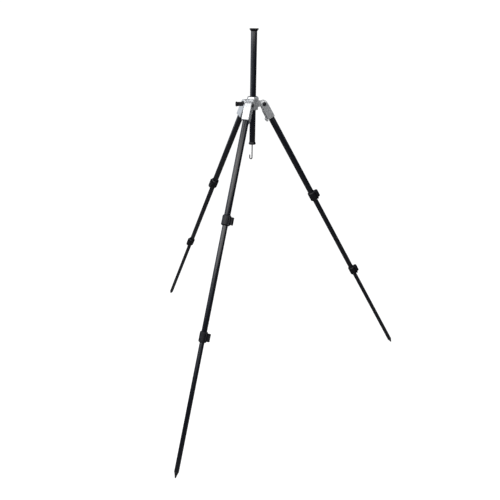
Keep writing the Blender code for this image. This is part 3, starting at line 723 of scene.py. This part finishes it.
def wire_tree():
    """A path of straight runs, its corners filleted, with a round wire swept along it."""
    tree, start, end = new_tree("bent_wire", (("Wire Radius", 0.002), ("Bend Radius", 0.005)))
    node, link = tree.nodes.new, tree.links.new
    fillet = node("GeometryNodeFilletCurve")
    fillet.mode = "POLY"
    fillet.inputs["Count"].default_value = BEND_STEPS
    link(start.outputs["Shape"], fillet.inputs["Curve"])
    link(start.outputs["Bend Radius"], fillet.inputs["Radius"])
    ring = node("GeometryNodeCurvePrimitiveCircle")
    ring.inputs["Resolution"].default_value = WIRE_SIDES
    link(start.outputs["Wire Radius"], ring.inputs["Radius"])
    sweep = node("GeometryNodeCurveToMesh")
    sweep.inputs["Fill Caps"].default_value = True
    link(fillet.outputs[0], sweep.inputs["Curve"])
    link(ring.outputs[0], sweep.inputs["Profile Curve"])
    return close_tree(tree, sweep.outputs[0], start, end)


def break_edges(mesh, width):
    """Bevel the sharp rims of a mesh."""
    bm = bmesh.new()
    bm.from_mesh(mesh)
    sharp = [edge for edge in bm.edges if edge.calc_face_angle(0.0) > RIM_ANGLE]
    bmesh.ops.bevel(bm, geom=sharp, offset=width, segments=RIM_STEPS, affect="EDGES", profile=0.5,
                    clamp_overlap=True)
    return mesh_from(bm)


low, high = span("hook", COLUMN_FRAME)
wire = high.x
bend = -(low.x + wire) / 2
tip = max(vertex.co.z for vertex in frame["nodes"]["hook"].data.vertices if vertex.co.x < -bend - wire)
path = bpy.data.curves.new("wire_path", "CURVE")
path.dimensions = "3D"
spline = path.splines.new("POLY")
corners = ((0.0, high.z), (0.0, low.z + wire), (-2 * bend, low.z + wire), (-2 * bend, tip))
spline.points.add(len(corners) - 1)
for point, (x, z) in zip(spline.points, corners):
    point.co = (x, 0.0, z, 1.0)
mesh = grow(wire_tree(), {"Wire Radius": wire, "Bend Radius": bend, "Finish": DARK_WIRE}, path)
settle(break_edges(mesh, RIM_SHARE * wire), "hook", COLUMN_FRAME, DARK_WIRE)

# %% [markdown]
# ## Castings
# A die casting has no sharp edge: the metal rounds over wherever two faces meet. Bevelling a shape full
# of holes and cuts tends to tear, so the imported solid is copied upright, merged, voxel remeshed and
# smoothed. The remesh turns every edge into a small even radius, just as the mould does. The shoulder,
# the three leg castings and the three release levers are made this way.


# %% Soften the castings
CASTING_VOXEL = 0.0006
LEG_ROUNDS, SHOULDER_ROUNDS = 5, 4


def soften(node, place, voxel, rounds):
    """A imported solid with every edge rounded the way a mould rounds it."""
    obj = loose(mesh_from(merged(node, place)))
    remesh = obj.modifiers.new("remesh", "REMESH")
    remesh.mode = "VOXEL"
    remesh.voxel_size = voxel
    relax = obj.modifiers.new("relax", "SMOOTH")
    relax.factor = 0.5
    relax.iterations = rounds
    return evaluated(obj)


for leg in LEGS:
    for part in ("leg_casting", "release_lever"):
        node = leg + "_" + part
        settle(soften(node, FRAMES[leg], CASTING_VOXEL, LEG_ROUNDS), node, FRAMES[leg], CAST_SILVER)
node = "shoulder_casting"
settle(soften(node, SHOULDER_FRAME, CASTING_VOXEL, SHOULDER_ROUNDS), node, SHOULDER_FRAME, CAST_SILVER)

# %% [markdown]
# ## Section clamps and flip levers
# A section clamp is a nylon collar that a cam lever squeezes shut. Both are mouldings, so their edges are
# soft too, only finer than the castings'. The thumb side of each lever has finger grooves across it, made
# with the groove tree: the wave runs along the tube, and From Radius keeps it to the bulge that the thumb
# meets.

# %% Mould the clamps and levers
CLAMP_VOXEL = 0.0005
CLAMP_ROUNDS = 3
GRIP_PER_METRE = 330.0
GRIP_DEPTH = 0.0006
GRIP_MARGIN = 0.0045
GRIP_REACH = 0.0045
for leg in LEGS:
    for part in ("upper", "lower"):
        clamp, lever = leg + "_" + part + "_clamp", leg + "_" + part + "_lever"
        settle(soften(clamp, FRAMES[leg], CLAMP_VOXEL, CLAMP_ROUNDS), clamp, FRAMES[leg], BLACK_NYLON)
        low, high = span(lever, FRAMES[leg])
        upright = FRAMES[leg].inverted()
        far = max((upright @ vertex.co).xy.length for vertex in frame["nodes"][lever].data.vertices)
        mesh = soften(lever, FRAMES[leg], CLAMP_VOXEL, CLAMP_ROUNDS)
        mesh = grow(GROOVE_TREE, {"Per Metre": GRIP_PER_METRE, "Depth": GRIP_DEPTH,
                                  "Low": low.z + GRIP_MARGIN, "High": high.z - GRIP_MARGIN,
                                  "From Radius": far - GRIP_REACH, "Fade": LONG_FADE,
                                  "Narrowing": NARROW_RIB, "Finish": BLACK_NYLON}, mesh)
        settle(mesh, lever, FRAMES[leg], BLACK_NYLON)

# %% [markdown]
# ## Floor
# The stand is shown in an even white room, where floor and wall run into one another. A plain white floor
# under a strong light would still show a horizon and a shadow. So the floor glows a little by itself and
# takes only a little of the light, which leaves it evenly pale.

# %% Floor
FLOOR_SIZE = 60.0
FLOOR_DROP = 0.0005
FLOOR_WHITE = 1.0
FLOOR_GLOW = 0.05
floor_z = CAD_BOUNDS[0][2] - FLOOR_DROP
bm = bmesh.new()
bmesh.ops.create_grid(bm, x_segments=1, y_segments=1, size=FLOOR_SIZE / 2)
bmesh.ops.translate(bm, vec=(0, 0, floor_z), verts=bm.verts)
floor = loose(mesh_from(bm), "floor")
FLOOR_FINISH = finish("pale_floor", (0.16, 0.16, 0.16), (0.18, 0.18, 0.18), 0.9, 0.0, 30.0, relief=0.00001,
                      specular=0.0)
floor_tree = FLOOR_FINISH.node_tree
floor_shader = floor_tree.nodes["Principled BSDF"]
floor_shader.inputs["Emission Color"].default_value = (1.0, 1.0, 1.0, 1.0)
seen = floor_tree.nodes.new("ShaderNodeLightPath").outputs["Is Camera Ray"]
floor_tree.links.new(scale_factor(floor_tree, seen, 0.0, 1.0, FLOOR_GLOW, FLOOR_WHITE),
                     floor_shader.inputs["Emission Strength"])
floor.data.materials.append(FLOOR_FINISH)
print("floor at", round(floor_z, 4))

# %% [markdown]
# ## Lights
# Round black tubes are drawn by what they mirror. Two wide softboxes before and above the stand put a broad
# grey band with a clear right edge on the front leg, and their lower edges stay above the horizon, so the
# lowest leg section keeps almost black. Two low cool panels on the left and a narrow low one in front draw
# the edges of the column. The room itself is dim for reflections and white where it is seen directly.


# %% Lights and world
CAMERA_AZIMUTH = math.radians(20.04)
TOWARDS = Vector((math.sin(CAMERA_AZIMUTH), -math.cos(CAMERA_AZIMUTH), 0))
RIGHTWARDS = Vector((-TOWARDS.y, TOWARDS.x, 0))


def softbox(name, aim, azimuth, elevation, distance, size, radiance, colour=(1.0, 1.0, 1.0)):
    """A panel that faces a point, placed by its azimuth from the camera's side and its elevation."""
    turn, tilt = math.radians(azimuth), math.radians(elevation)
    level = math.cos(turn) * TOWARDS + math.sin(turn) * RIGHTWARDS
    outward = math.cos(tilt) * level + math.sin(tilt) * Vector((0, 0, 1))
    light = bpy.data.lights.new(name, "AREA")
    light.shape = "RECTANGLE"
    light.size, light.size_y = size
    light.energy = radiance * math.pi * size[0] * size[1]
    light.color = colour
    obj = bpy.data.objects.new(name, light)
    bpy.context.scene.collection.objects.link(obj)
    obj.location = Vector(aim) + distance * outward
    obj.rotation_euler = (-outward).to_track_quat("-Z", "Y").to_euler()
    obj.visible_camera = False
    print(name, [round(v, 2) for v in obj.location], "watts", round(light.energy, 1))


LEG_AIM = (0.0, -0.25, -0.55)
COLUMN_AIM = (0.0, 0.0, -0.40)
WARM, NEUTRAL, COOL = (1.0, 0.98, 0.95), (1.0, 0.99, 0.98), (0.82, 0.90, 1.0)
softbox("key_front", LEG_AIM, 8.0, 43.0, 2.6, (4.2, 1.8), 2.1, WARM)
softbox("key_left", LEG_AIM, -66.0, 42.0, 2.6, (3.4, 1.9), 2.3, NEUTRAL)
softbox("low_left_rear", COLUMN_AIM, -112.0, 5.0, 2.4, (2.5, 1.4), 0.9, COOL)
softbox("low_left_front", COLUMN_AIM, -66.0, 8.0, 2.4, (1.5, 1.4), 1.1, COOL)
softbox("low_front", COLUMN_AIM, -12.0, 5.0, 2.5, (2.4, 0.4), 0.55, COOL)

SKY_TINT = (0.82, 0.89, 1.0, 1.0)
SKY_HEIGHTS, SKY_STRENGTHS = (-0.05, 0.55), (0.06, 0.26)
ROOM_WHITE = 1.05
world = bpy.data.worlds.new("white_room")
bpy.context.scene.world = world
world.use_nodes = True
room = world.node_tree
dim = room.nodes["Background"]
dim.inputs["Color"].default_value = SKY_TINT
bright = room.nodes.new("ShaderNodeBackground")
bright.inputs["Color"].default_value = (1.0, 1.0, 1.0, 1.0)
bright.inputs["Strength"].default_value = ROOM_WHITE
direction = room.nodes.new("ShaderNodeSeparateXYZ")
room.links.new(room.nodes.new("ShaderNodeTexCoord").outputs["Generated"], direction.inputs[0])
room.links.new(scale_factor(room, direction.outputs[2], *SKY_HEIGHTS, *SKY_STRENGTHS), dim.inputs["Strength"])
choice = room.nodes.new("ShaderNodeMixShader")
room.links.new(room.nodes.new("ShaderNodeLightPath").outputs["Is Camera Ray"], choice.inputs[0])
room.links.new(dim.outputs[0], choice.inputs[1])
room.links.new(bright.outputs[0], choice.inputs[2])
room.links.new(choice.outputs[0], room.nodes["World Output"].inputs["Surface"])

# %% [markdown]
# ## Camera
# The camera looks a little down on the stand from the front right. Its place comes from fitting the
# stand's own proportions, so the small yaw and roll are kept rather than levelled away.

# %% Camera
CAMERA_DISTANCE = 1.9150
CAMERA_HEIGHT = 0.0035
CAMERA_PITCH = math.radians(25.764)
CAMERA_YAW = -0.0148
CAMERA_ROLL = 0.0103
CAMERA_LENS = 33.257
CAMERA_SHIFT = 0.0115


def place_camera():
    """Stand back along the azimuth, look down by the pitch, then apply the small yaw and roll."""
    camera = bpy.data.cameras.new("camera")
    camera.lens = CAMERA_LENS
    camera.shift_x = CAMERA_SHIFT
    obj = bpy.data.objects.new("camera", camera)
    bpy.context.scene.collection.objects.link(obj)
    ct, st = math.cos(CAMERA_PITCH), math.sin(CAMERA_PITCH)
    cy, sy = math.cos(CAMERA_YAW), math.sin(CAMERA_YAW)
    cr, sr = math.cos(CAMERA_ROLL), math.sin(CAMERA_ROLL)
    forward = Vector((ct * sy, ct * cy, -st))
    right = Vector((cy, -sy, 0))
    up = Vector((st * sy, st * cy, ct))
    turn = Matrix.Rotation(CAMERA_AZIMUTH, 3, "Z")
    x_axis = turn @ (cr * right + sr * up)
    y_axis = turn @ (cr * up - sr * right)
    obj.matrix_world = axes_matrix(turn @ Vector((0, -CAMERA_DISTANCE, CAMERA_HEIGHT)), x_axis, y_axis,
                                   turn @ -forward)
    bpy.context.scene.camera = obj


place_camera()
bpy.context.scene.view_settings.view_transform = "Standard"
print("camera", [round(v, 3) for v in bpy.context.scene.camera.location])
